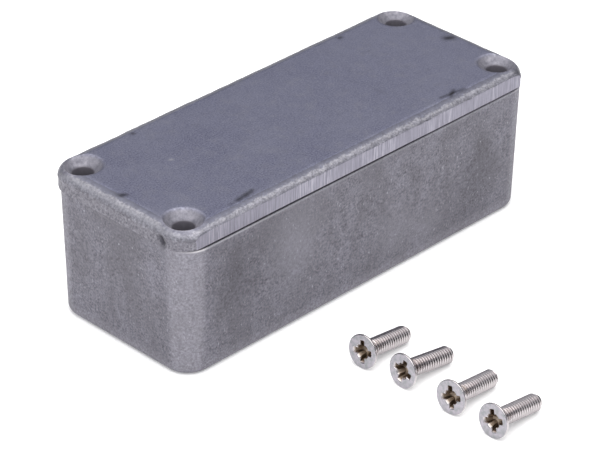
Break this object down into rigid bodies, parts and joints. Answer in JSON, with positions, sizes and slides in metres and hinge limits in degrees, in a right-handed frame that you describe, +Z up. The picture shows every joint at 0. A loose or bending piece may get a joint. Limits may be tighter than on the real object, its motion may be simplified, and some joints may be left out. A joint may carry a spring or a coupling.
{
  "type": "die cast aluminium box",
  "caption": "Rectangular die cast aluminium case with a countersunk screw-down lid; the lid rests in place and its screws lie loose in front.",
  "frame": {"origin": "centre of the case's flat base, on the surface that it stands on", "axes": "+X along the case's length, +Z up through the lid, the loose screws lie on the -Y side"},
  "size_m": [0.0902, 0.0867, 0.03],
  "materials": {
    "box_casting": "tumbled raw casting, matt and mottled",
    "lid_casting": "raw casting, satin on top, ground along the long sides",
    "plated_screw": "bright plated steel"
  },
  "bodies": {
    "root": {"box": "box_casting", "lid": "lid_casting", "screw_1": "plated_screw", "screw_2": "plated_screw", "screw_3": "plated_screw", "screw_4": "plated_screw"}
  },
  "joints": []
}
